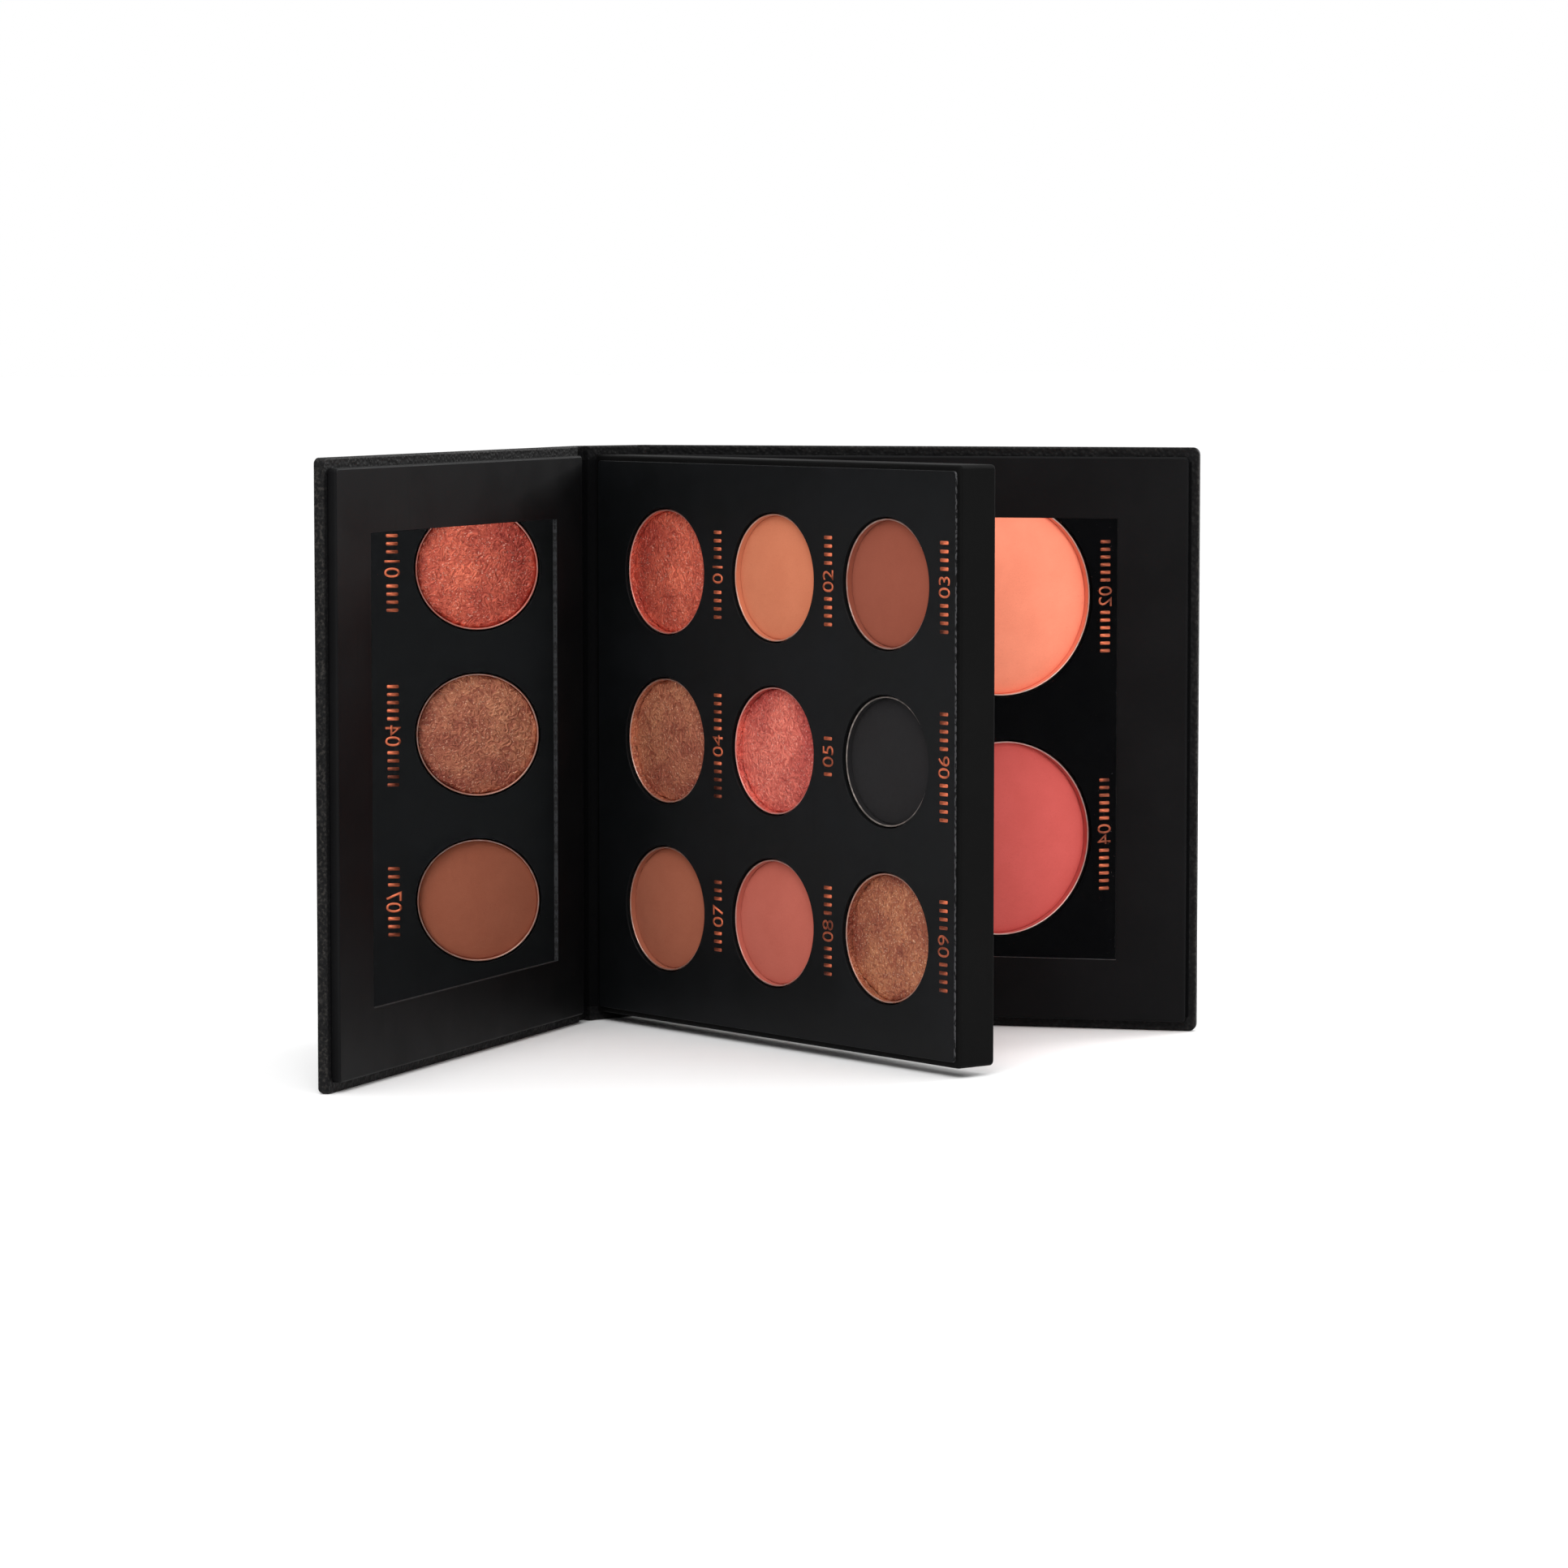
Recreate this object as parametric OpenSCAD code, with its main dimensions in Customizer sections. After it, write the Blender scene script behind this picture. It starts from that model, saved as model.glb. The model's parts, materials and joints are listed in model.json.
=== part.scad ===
// Double-sided, book-style make-up palette, standing open on its lower edges.
// A board case, made of two covers and a spine, is hinged by its own wrap. A thick tray
// is glued edge-on to the spine: nine eyeshadow pans in front, four face powders behind.
//
// Frame: millimetres. +Z is up, along the hinges. +X runs from the spine to the tray's
// free edge. The origin is the centre of the spine's foot. The tray's front faces -Y.
// The back of the object is the front mirrored in Y, so most modules draw the front.

/* [Case] */
// Height of the covers and the spine
case_h = 122; // [120:1:140]
// Width of a cover, from its hinge axis to its free edge
cover_w = 120; // [119:1:140]
// Thickness of the grey board in the covers and the spine
board_t = 1.4; // [1.3:0.1:2.5]
// Thickness of the leatherette wrap and of the lining paper
wrap_t = 0.4; // [0.3:0.05:0.5]
// Radius of the covers' outer corners
corner_r = 1.5; // [1:0.1:3]
// Width of the flexible gutter between the spine and a cover
gutter_w = 4.8; // [4.4:0.1:5.2]
// How far the wrap is turned in over the boards' inner faces
turn_in = 12; // [8:1:14]

/* [Pose] */
// Angle by which the front cover stands open
front_open = 61; // [0:1:180]
// Angle by which the back cover stands open
back_open = 38; // [0:1:180]
// Gap between a shut cover's panel and the tray
shut_gap = 0.3; // [0.2:0.1:1]

/* [Mirror panels] */
// Inset of the raised panel from the cover's edges
panel_inset = 2; // [1.5:0.1:3]
// Thickness of the panel's spacer frame
spacer_t = 1.2; // [1.2:0.1:2]
// Thickness of the mask card, and of the tray's face cards
card_t = 0.5; // [0.3:0.05:0.8]
// Width of the window over the mirror
window_w = 86.6; // [80:0.1:88]
// Height of the window over the mirror
window_h = 92.4; // [85:0.1:94]
// Distance from the hinge axis to the window
window_x = 16.7; // [15:0.1:18]
// How far the mirror runs in under the mask card
mirror_lap = 1.3; // [1:0.1:2]

/* [Tray] */
// Thickness of each of the two punched core boards
core_t = 3.6; // [3.5:0.1:4.5]
// Thickness of the divider between the two core boards
divider_t = 1.0; // [0.6:0.1:2]
// Inset of the tray from the case at its top and bottom
tray_inset = 1.9; // [1:0.1:2.5]
// How far a shut cover runs past the tray's free edge
overhang = 0.3; // [0:0.1:1]
// Inset of the face cards from the tray's edges
card_inset = 1.2; // [0.8:0.1:1.5]

/* [Eyeshadow pans] */
// Outer diameter of an eyeshadow pan
small_d = 26; // [24:0.5:27]
// Distance between the columns
small_col_pitch = 35.7; // [33:0.1:36]
// Distance between the rows
small_row_pitch = 35.2; // [33:0.1:37]
// Distance from the spine to the first column
small_first_col = 24; // [20:0.1:25]

/* [Face powder pans] */
// Outer diameter of a face powder pan
large_d = 43; // [37:0.5:44]
// Distance between the columns, and between the rows
large_pitch = 53; // [50:0.5:54]
// Distance from the spine to the first column
large_first_col = 35.5; // [30:0.1:36]

/* [Pans and magnets] */
// Height of every pan
pan_h = 3.7; // [3.2:0.1:3.7]
// Wall and floor thickness of every pan
pan_t = 0.35; // [0.2:0.05:0.5]
// How far the powder lies below the pan's rim
powder_drop = 0.35; // [0.1:0.05:0.8]
// Diameter of the magnets
magnet_d = 8; // [6:0.5:8]
// Thickness of the magnets
magnet_t = 1; // [0.6:0.1:1]

/* [Hidden] */
$fn = 64;
cut = 1;                 // how far a cutter runs past the face that it opens
fit = 0.02;              // radial gap where a disc fills a round hollow
well_gap = 0.3;          // radial gap between a pan and its well
glue_t = 0.2;            // thickness of glue spots and of the mirror's tape
glue_share = 0.6;        // diameter of a glue spot against its pan's
mirror_gap = 0.2;        // gap between the mirror and the spacer round it
panel_r = 0.8;           // corner radius of the raised panels and the face cards
tray_r = 1.0;            // corner radius of the tray at its free edge
edge_liner_t = 0.3;      // thickness of the liner in a gutter
tape_w = 10;             // width of a strip of the mirror's tape
tape_strips = 3;
gutter_steps = 14;       // straight pieces in a gutter's curve
magnet_edge = 7.8;       // from a magnet's centre to the tray's free edge
magnet_foot = 8.5;       // from a magnet's centre to the case's top or bottom

cover_t = board_t + 2 * wrap_t;
panel_t = spacer_t + card_t;
face_t = card_t + wrap_t;                        // what lies over a core board
tray_t = 2 * (face_t + core_t) + divider_t;
half_gutter = gutter_w / 2;
hinge_x = -cover_t / 2 + wrap_t / 2;             // in the middle of the spine's wrap
hinge_y = tray_t / 2 + shut_gap + panel_t + cover_t - wrap_t / 2;
spine_y = hinge_y - half_gutter;                 // half the spine's width

// Cover frame: X from the hinge axis to the free edge, Y from the wrap's mid-plane inwards.
board_y0 = wrap_t / 2;
board_y1 = board_y0 + board_t;
inner_y = board_y1 + wrap_t;
card_y = inner_y + spacer_t;
panel_x0 = half_gutter + 1.2;
window_z = (case_h - window_h) / 2;

tray_x0 = cover_t / 2;
tray_x1 = hinge_x + cover_w - overhang;
tray_z0 = tray_inset;
tray_z1 = case_h - tray_inset;
core_y = divider_t / 2;                          // inner face of a core board
wrap_y = core_y + core_t;                        // inner face of the tray's wrap
magnet_x = tray_x1 - magnet_edge;
magnet_zs = [magnet_foot, case_h - magnet_foot];
pan_floor_y = core_y + glue_t;
pan_rim_y = pan_floor_y + pan_h;

small_r = small_d / 2;
large_r = large_d / 2;
smalls = [1 : 9];
larges = [1 : 4];

// Centre, as [x, z], of a pan. Pans are counted from the spine, and from the top row down.
function small_at(i) = [
    tray_x0 + small_first_col + ((i - 1) % 3) * small_col_pitch,
    case_h / 2 + (1 - floor((i - 1) / 3)) * small_row_pitch
];
function large_at(i) = [
    tray_x0 + large_first_col + ((i - 1) % 2) * large_pitch,
    case_h / 2 + (0.5 - floor((i - 1) / 2)) * large_pitch
];

function heading(a) = [cos(a), sin(a)];
function left_of(v) = [-v[1], v[0]] / norm(v);

// A gutter's centre line: a cubic curve from the spine's edge to the cover's edge, in a
// frame centred on the hinge axis, and its direction there. t runs from 0 to 1.
function gutter_knots(open) =
    let (start = [0, half_gutter], end = half_gutter * heading(-open), pull = 0.4 * norm(end - start))
    [start, start - [0, pull], end - pull * heading(-open), end];
function gutter_point(k, t) =
    pow(1 - t, 3) * k[0] + 3 * t * pow(1 - t, 2) * k[1] + 3 * t * t * (1 - t) * k[2] + pow(t, 3) * k[3];
function gutter_run(k, t) =
    pow(1 - t, 2) * (k[1] - k[0]) + 2 * t * (1 - t) * (k[2] - k[1]) + t * t * (k[3] - k[2]);
function gutter_side(k, off) = [
    for (i = [0 : gutter_steps])
        let (t = i / gutter_steps)
        gutter_point(k, t) + off * left_of(gutter_run(k, t))
];
function reversed(list) = [for (i = [len(list) - 1 : -1 : 0]) list[i]];

function both(name) = [str("front_", name), str("back_", name)];
function numbered(name, range) = [for (i = range) str(name, i)];

// --- shapes -------------------------------------------------------------------------

// Rectangle with round corners, at its right-hand end only unless all_round is true.
module outline(x0, x1, z0, z1, r, all_round = true) {
    left = all_round ? r : 0;
    translate([x0 + left, z0]) square([x1 - x0 - r - left, z1 - z0]);
    translate([x0, z0 + r]) square([x1 - x0, z1 - z0 - 2 * r]);
    for (x = all_round ? [x0 + r, x1 - r] : [x1 - r], z = [z0 + r, z1 - r])
        translate([x, z]) circle(r);
}

// Stands a flat outline up in the XZ plane, between y0 and y1.
module upright(y0, y1) {
    translate([0, y1, 0]) rotate([90, 0, 0]) linear_extrude(y1 - y0) children();
}

// Box between two corners.
module block(low, high) {
    translate(low) cube(high - low);
}

// Disc on the Y axis, centred at [x, z], between y0 and y1.
module disc(at, y0, y1, r) {
    translate([at[0], y0, at[1]]) rotate([-90, 0, 0]) cylinder(h = y1 - y0, r = r);
}

// Puts something drawn in the cover frame where the front cover, or the back cover, stands.
module on_front() {
    translate([hinge_x, -hinge_y, 0]) rotate([0, 0, -front_open]) children();
}
module on_back() {
    mirror([0, 1, 0]) translate([hinge_x, -hinge_y, 0]) rotate([0, 0, -back_open]) children();
}
module behind() {
    mirror([0, 1, 0]) children();
}

// --- cover, drawn in the cover frame --------------------------------------------------

module cover_outline(inset = 0) {
    outline(half_gutter, cover_w - inset, inset, case_h - inset, corner_r - inset, false);
}

module liner_outline() {
    translate([half_gutter, turn_in]) square([cover_w - turn_in - half_gutter, case_h - 2 * turn_in]);
}

module cover_magnet_discs(r, y1) {
    for (z = magnet_zs) disc([magnet_x - hinge_x, z], board_y1 - magnet_t, y1, r);
}

module cover_board() {
    color("dimgray") difference() {
        upright(board_y0, board_y1) cover_outline(wrap_t);
        cover_magnet_discs(magnet_d / 2 + fit, board_y1 + cut);
    }
}

module cover_wrap() {
    color([0.09, 0.09, 0.09]) difference() {
        upright(-wrap_t / 2, inner_y) cover_outline();
        translate([-cut, 0, 0]) upright(board_y0, board_y1) cover_outline(wrap_t);
        upright(board_y0, board_y1) cover_outline(wrap_t);
        upright(board_y1 - fit, inner_y + cut) liner_outline();
    }
}

module cover_liner() {
    color([0.07, 0.07, 0.07]) upright(board_y1, inner_y) liner_outline();
}

module cover_magnets() {
    color("silver") cover_magnet_discs(magnet_d / 2, board_y1);
}

module panel_outline() {
    outline(panel_x0, cover_w - panel_inset, panel_inset, case_h - panel_inset, panel_r);
}

// The window, grown by margin on every side.
module window_outline(margin) {
    translate([window_x - margin, window_z - margin])
        square([window_w + 2 * margin, window_h + 2 * margin]);
}

module panel_spacer() {
    color("dimgray") upright(inner_y, card_y) difference() {
        panel_outline();
        window_outline(mirror_lap + mirror_gap);
    }
}

module panel_card() {
    color([0.08, 0.08, 0.08]) upright(card_y, card_y + card_t) difference() {
        panel_outline();
        window_outline(0);
    }
}

module mirror_glass() {
    color("lightgray") upright(inner_y + glue_t, card_y) window_outline(mirror_lap);
}

module mirror_tape() {
    step = window_w / tape_strips;
    color("white") for (i = [0 : tape_strips - 1])
        translate([window_x + (i + 0.5) * step, inner_y, case_h / 2])
            block([-tape_w / 2, 0, -window_h / 2], [tape_w / 2, glue_t, window_h / 2]);
}

// --- hinges, drawn about the hinge axis ------------------------------------------------

// Strip between two offsets from the gutter's centre line, from z0 to z1.
module gutter_strip(open, low, high, z0, z1) {
    knots = gutter_knots(open);
    translate([hinge_x, -hinge_y, z0]) linear_extrude(z1 - z0)
        polygon(concat(gutter_side(knots, low), reversed(gutter_side(knots, high))));
}

module hinge_wrap(open) {
    color([0.09, 0.09, 0.09]) gutter_strip(open, -wrap_t / 2, wrap_t / 2, 0, case_h);
}

// Lines the gutter: up the spine board's edge, along the wrap, and up the cover board's edge.
module hinge_liner(open) {
    z0 = wrap_t;
    z1 = case_h - wrap_t;
    lip = edge_liner_t;
    strip_middle = (wrap_t + lip) / 2;
    color([0.07, 0.07, 0.07]) union() {
        gutter_strip(open, wrap_t / 2, wrap_t / 2 + lip, z0, z1);
        translate([hinge_x, -hinge_y, 0])
            block([strip_middle, half_gutter - lip, z0], [inner_y, half_gutter, z1]);
        translate([hinge_x, -hinge_y, 0]) rotate([0, 0, -open])
            block([half_gutter - lip, strip_middle, z0], [half_gutter, inner_y, z1]);
    }
}

// --- spine ------------------------------------------------------------------------------

module spine_block(x0, x1, margin_y, z0) {
    block([x0, -spine_y - margin_y, z0], [x1, spine_y + margin_y, case_h - z0]);
}

module spine_board() {
    color("dimgray") spine_block(-board_t / 2, board_t / 2, 0, wrap_t);
}

module spine_wrap() {
    color([0.09, 0.09, 0.09]) difference() {
        spine_block(-cover_t / 2, cover_t / 2, 0, 0);
        spine_block(-board_t / 2, board_t / 2, cut, wrap_t);
        spine_block(board_t / 2 - fit, cover_t / 2 + cut, cut, turn_in);
    }
}

module spine_liner() {
    color([0.07, 0.07, 0.07]) spine_block(board_t / 2, cover_t / 2, 0, turn_in);
}

// --- tray, front half drawn at -Y ----------------------------------------------------------

module small_discs(y0, y1, r) {
    for (i = smalls) disc(small_at(i), -y1, -y0, r);
}
module large_discs(y0, y1, r) {
    for (i = larges) disc(large_at(i), -y1, -y0, r);
}

module tray_outline(inset) {
    outline(tray_x0, tray_x1 - inset, tray_z0 + inset, tray_z1 - inset, tray_r - inset, false);
}

module tray_magnet_discs(y0, y1, r) {
    for (z = magnet_zs) disc([magnet_x, z], -y1, -y0, r);
}

// A core board with its wells and its magnets' pockets.
module tray_core() {
    color("dimgray") difference() {
        upright(-wrap_y, -core_y) tray_outline(wrap_t);
        children();
        tray_magnet_discs(wrap_y - magnet_t, wrap_y + cut, magnet_d / 2 + fit);
    }
}

module tray_divider() {
    color("gray") upright(-core_y, core_y) tray_outline(wrap_t);
}

module tray_wrap() {
    outer_y = wrap_y + wrap_t;
    color([0.09, 0.09, 0.09]) difference() {
        upright(-outer_y, outer_y) tray_outline(0);
        upright(-wrap_y, wrap_y) tray_outline(wrap_t);
        translate([-cut, 0, 0]) upright(-wrap_y, wrap_y) tray_outline(wrap_t);
        small_discs(0, outer_y + cut, small_r + well_gap);
        behind() large_discs(0, outer_y + cut, large_r + well_gap);
    }
}

module tray_card() {
    y = wrap_y + wrap_t;
    color([0.08, 0.08, 0.08]) difference() {
        upright(-y - card_t, -y) outline(
            tray_x0 + card_inset, tray_x1 - card_inset,
            tray_z0 + card_inset, tray_z1 - card_inset, panel_r
        );
        children();
    }
}

module tray_magnets() {
    color("silver") {
        tray_magnet_discs(wrap_y - magnet_t, wrap_y, magnet_d / 2);
        behind() tray_magnet_discs(wrap_y - magnet_t, wrap_y, magnet_d / 2);
    }
}

// --- pans, drawn at -Y ------------------------------------------------------------------------

module pan(at, r) {
    color("gainsboro") difference() {
        disc(at, -pan_rim_y, -pan_floor_y, r);
        disc(at, -pan_rim_y - cut, -pan_floor_y - pan_t, r - pan_t);
    }
}

module powder(at, r, shade) {
    color(shade) disc(at, powder_drop - pan_rim_y, -pan_floor_y - pan_t, r - pan_t - fit);
}

module eyeshadow_glue() {
    color("wheat") small_discs(core_y, pan_floor_y, small_r * glue_share);
}

module face_powder_glue() {
    color("wheat") behind() large_discs(core_y, pan_floor_y, large_r * glue_share);
}

// Shades, in the order of the pans.
small_shades = [
    [0.62, 0.27, 0.20], [0.76, 0.46, 0.34], [0.56, 0.32, 0.26],
    [0.52, 0.32, 0.24], [0.72, 0.36, 0.32], [0.13, 0.13, 0.13],
    [0.48, 0.28, 0.22], [0.65, 0.36, 0.31], [0.60, 0.38, 0.27]
];
large_shades = [[0.80, 0.66, 0.55], [0.93, 0.55, 0.43], [0.70, 0.50, 0.40], [0.75, 0.34, 0.32]];

// --- nodes -----------------------------------------------------------------------------------

on_front() cover_board();  // front_cover_board
on_back() cover_board();  // back_cover_board
on_front() cover_wrap();  // front_cover_wrap
on_back() cover_wrap();  // back_cover_wrap
on_front() cover_liner();  // front_cover_liner
on_back() cover_liner();  // back_cover_liner
on_front() cover_magnets();  // front_cover_magnets
on_back() cover_magnets();  // back_cover_magnets
on_front() panel_spacer();  // front_panel_spacer
on_back() panel_spacer();  // back_panel_spacer
on_front() panel_card();  // front_panel_card
on_back() panel_card();  // back_panel_card
on_front() mirror_glass();  // front_mirror
on_back() mirror_glass();  // back_mirror
on_front() mirror_tape();  // front_mirror_tape
on_back() mirror_tape();  // back_mirror_tape
hinge_wrap(front_open);  // front_hinge_wrap
behind() hinge_wrap(back_open);  // back_hinge_wrap
hinge_liner(front_open);  // front_hinge_liner
behind() hinge_liner(back_open);  // back_hinge_liner
spine_board();
spine_wrap();
spine_liner();
tray_core() small_discs(core_y - cut, wrap_y + cut, small_r + well_gap);  // front_tray_core
behind() tray_core() large_discs(core_y - cut, wrap_y + cut, large_r + well_gap);  // back_tray_core
tray_card() small_discs(wrap_y, tray_t, small_r + well_gap);  // front_tray_card
behind() tray_card() large_discs(wrap_y, tray_t, large_r + well_gap);  // back_tray_card
tray_divider();
tray_wrap();
tray_magnets();
eyeshadow_glue();
face_powder_glue();
for (i = smalls) {
    pan(small_at(i), small_r);
    powder(small_at(i), small_r, small_shades[i - 1]);
}
for (i = larges) {
    behind() pan(large_at(i), large_r);
    behind() powder(large_at(i), large_r, large_shades[i - 1]);
}
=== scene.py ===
"""Looks for the double-sided make-up palette: leatherette case, mirrors, pans and powders."""
import json
import math
import bmesh
import bpy
import numpy as np
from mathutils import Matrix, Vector, geometry, noise


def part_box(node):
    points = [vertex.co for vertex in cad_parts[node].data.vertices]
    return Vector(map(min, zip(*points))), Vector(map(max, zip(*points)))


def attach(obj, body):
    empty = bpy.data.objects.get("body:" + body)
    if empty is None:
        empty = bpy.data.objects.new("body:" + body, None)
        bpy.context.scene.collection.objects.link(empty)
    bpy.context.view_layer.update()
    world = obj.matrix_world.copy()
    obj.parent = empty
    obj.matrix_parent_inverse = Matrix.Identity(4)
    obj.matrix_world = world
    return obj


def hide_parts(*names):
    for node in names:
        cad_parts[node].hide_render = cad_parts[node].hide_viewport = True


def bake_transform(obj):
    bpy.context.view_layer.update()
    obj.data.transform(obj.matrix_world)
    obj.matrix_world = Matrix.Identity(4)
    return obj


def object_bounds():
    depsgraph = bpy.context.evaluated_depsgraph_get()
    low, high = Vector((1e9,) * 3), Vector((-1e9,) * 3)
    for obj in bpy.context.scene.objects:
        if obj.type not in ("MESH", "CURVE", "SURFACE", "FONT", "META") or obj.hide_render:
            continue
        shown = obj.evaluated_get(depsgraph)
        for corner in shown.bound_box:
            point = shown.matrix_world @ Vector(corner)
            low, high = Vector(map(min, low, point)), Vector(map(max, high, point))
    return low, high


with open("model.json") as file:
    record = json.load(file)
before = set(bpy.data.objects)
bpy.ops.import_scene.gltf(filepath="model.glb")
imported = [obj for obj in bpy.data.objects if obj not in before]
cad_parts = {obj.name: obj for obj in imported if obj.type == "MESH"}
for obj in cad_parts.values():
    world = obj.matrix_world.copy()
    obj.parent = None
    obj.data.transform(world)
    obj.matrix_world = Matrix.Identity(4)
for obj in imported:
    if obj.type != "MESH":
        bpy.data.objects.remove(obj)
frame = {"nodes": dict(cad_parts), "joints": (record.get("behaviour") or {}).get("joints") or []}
cad_low, cad_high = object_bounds()
MM = 0.001
TAU = 2 * math.pi

# --- camera -----------------------------------------------------------------------------------

CAMERA_AZIMUTH = 51.06      # degrees round the object from -Y
CAMERA_PITCH = 4.77         # degrees, looking down
CAMERA_PLACE = Vector((0.9098, -0.6879, 0.1452))
CAMERA_LENS = 123.46        # mm
CAMERA_SENSOR = 36          # mm wide


def make_camera():
    data = bpy.data.cameras.new("camera")
    data.lens = CAMERA_LENS
    data.sensor_width = CAMERA_SENSOR
    camera = bpy.data.objects.new("camera", data)
    bpy.context.scene.collection.objects.link(camera)
    camera.location = CAMERA_PLACE
    camera.rotation_euler = (math.radians(90 - CAMERA_PITCH), 0, math.radians(CAMERA_AZIMUTH))
    bpy.context.scene.camera = camera


make_camera()

# --- material tools ---------------------------------------------------------------------------

NOISE_ROUGHNESS = 0.55      # how strong each finer layer of a noise is, against the one before


class Shader:
    """A material with one Principled shader, and short ways to add texture nodes to it."""

    def __init__(self, name, **sockets):
        self.material = bpy.data.materials.new(name)
        self.material.use_nodes = True
        self.tree = self.material.node_tree
        self.bsdf = self.tree.nodes["Principled BSDF"]
        for socket, value in sockets.items():
            self.bsdf.inputs[socket.replace("_", " ")].default_value = value
        self.place = self.add("ShaderNodeTexCoord").outputs["Object"]

    def link(self, value, socket):
        """Gives a node's input a value, or links it to another node's output."""
        if isinstance(value, bpy.types.NodeSocket):
            self.tree.links.new(value, socket)
        else:
            socket.default_value = value

    def add(self, kind, inputs=None, **settings):
        node = self.tree.nodes.new(kind)
        for key, value in settings.items():
            setattr(node, key, value)
        for key, value in (inputs or {}).items():
            self.link(value, node.inputs[key])
        return node

    def noise(self, size, detail=3.0, stretch=(1, 1, 1), swirl=0.0):
        """Cloudy noise from 0 to 1 whose blobs are about size metres across. stretch scales the
        place along each axis, so a small number draws the blobs out, and swirl curls them."""
        place = self.place
        if stretch != (1, 1, 1):
            place = self.add("ShaderNodeMapping", {"Vector": place, "Scale": stretch}).outputs[0]
        inputs = {"Vector": place, "Scale": 1 / size, "Detail": detail, "Distortion": swirl}
        return self.add("ShaderNodeTexNoise", inputs | {"Roughness": NOISE_ROUGHNESS}).outputs["Fac"]

    def cells(self, size, **settings):
        """A pattern of cells about size metres across."""
        inputs = {"Vector": self.place, "Scale": 1 / size}
        return self.add("ShaderNodeTexVoronoi", inputs, **settings)

    def math(self, operation, a, b=0.0):
        return self.add("ShaderNodeMath", {0: a, 1: b}, operation=operation).outputs[0]

    def span(self, value, low, high, to_low=0.0, to_high=1.0):
        """Maps low..high to to_low..to_high, and holds the ends."""
        inputs = {"Value": value, "From Min": low, "From Max": high, "To Min": to_low, "To Max": to_high}
        return self.add("ShaderNodeMapRange", inputs).outputs[0]

    def mix(self, share, first, second):
        node = self.add("ShaderNodeMix", data_type="RGBA")
        for socket, value in zip((0, 6, 7), (share, first, second)):
            self.link(value, node.inputs[socket])
        return node.outputs[2]

    def bump(self, height, depth, normal=None):
        """A normal for bumps where a height of 1 stands depth metres proud."""
        inputs = {"Height": height, "Distance": depth}
        if normal is not None:
            inputs["Normal"] = normal
        return self.add("ShaderNodeBump", inputs).outputs[0]

    def set(self, **sockets):
        """Links values to the Principled shader's inputs, named with _ for a space."""
        for socket, value in sockets.items():
            self.tree.links.new(value, self.bsdf.inputs[socket.replace("_", " ")])


def rgb(red, green, blue):
    """A colour as the eye sees it, 0 to 255, as linear RGBA."""
    def linear(v):
        v /= 255
        return v / 12.92 if v <= 0.04045 else ((v + 0.055) / 1.055) ** 2.4

    return (linear(red), linear(green), linear(blue), 1.0)


def shade(colour, red, green, blue):
    """The colour with each channel multiplied."""
    return rgb(*(min(255, c * k) for c, k in zip(colour, (red, green, blue))))


# --- case materials ---------------------------------------------------------------------------

EDGE_WEAR_AND_HIGHLIGHT = "edge_wear_and_highlight"               # what the case's points store: 1 on its edges, 0 away from them


def leatherette():
    """Bonded leatherette: a fine pebbled grain with creases, lighter on pebble tops and edges: part wear,
    part painted highlight.
    """
    s = Shader("leatherette", Specular_IOR_Level=0.11)
    pebbles = s.cells(0.7 * MM, feature="SMOOTH_F1").outputs["Distance"]
    creases = s.noise(1.3 * MM, detail=4)
    grain = s.math("ADD", s.span(pebbles, 0.05, 0.75, 1.0, 0.0), s.math("MULTIPLY", creases, 0.6))
    normal = s.bump(grain, 0.1 * MM)
    normal = s.bump(s.noise(0.12 * MM, detail=2), 0.008 * MM, normal)
    tone = s.span(s.noise(9 * MM, detail=5), 0.35, 0.7)
    # pebble tops lighter in patches: rubbed wear, and a painted highlight where light catches them
    worn_and_highlit = s.span(s.math("MULTIPLY", grain, s.noise(2.5 * MM)), 0.35, 0.9, 0.0, 0.5)
    edges = s.add("ShaderNodeAttribute", attribute_name=EDGE_WEAR_AND_HIGHLIGHT).outputs["Fac"]
    patchy = s.span(s.noise(0.6 * MM, detail=4), 0.5, 0.66)
    # edges lighter: rubbed wear, and a painted highlight of light catching the rounded edges
    rubbed = s.math("MULTIPLY", s.span(edges, 0.45, 0.95, 0.0, 0.6), patchy)
    colour = s.mix(tone, rgb(7, 7, 8), rgb(12, 12, 13))
    s.set(
        Base_Color=s.mix(rubbed, s.mix(worn_and_highlit, colour, rgb(42, 41, 40)), rgb(58, 55, 52)),
        Normal=normal,
        Roughness=s.span(grain, 0.2, 1.2, 0.66, 0.44),
    )
    return s.material


def lining_paper():
    """Matte black endpaper with a fibrous tooth."""
    s = Shader("lining_paper", Roughness=0.85, Specular_IOR_Level=0.05)
    fibres = s.noise(0.45 * MM, detail=5, stretch=(1, 1, 0.4))
    s.set(Base_Color=s.mix(fibres, rgb(4, 4, 5), rgb(10, 10, 11)), Normal=s.bump(fibres, 0.02 * MM))
    return s.material


def black_card(name, dark, light, roughness, specular):
    """Laminated card: smooth, with a faint paper tooth, a little sag, haze and a few scuffs."""
    s = Shader(name, Specular_IOR_Level=specular)
    normal = s.bump(s.noise(0.35 * MM, detail=4), 0.004 * MM)
    normal = s.bump(s.noise(20 * MM, detail=2), 0.1 * MM, normal)
    haze = s.span(s.noise(14 * MM, detail=6), 0.4, 0.75)
    scuffs = s.span(s.noise(3 * MM, detail=5, stretch=(1, 1, 0.12)), 0.62, 0.8, 0.0, 0.07)
    rough = s.span(haze, 0.0, 1.0, roughness, roughness + 0.1)
    s.set(
        Base_Color=s.mix(haze, rgb(*dark), rgb(*light)),
        Normal=normal,
        Roughness=s.math("ADD", rough, scuffs),
    )
    return s.material


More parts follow.
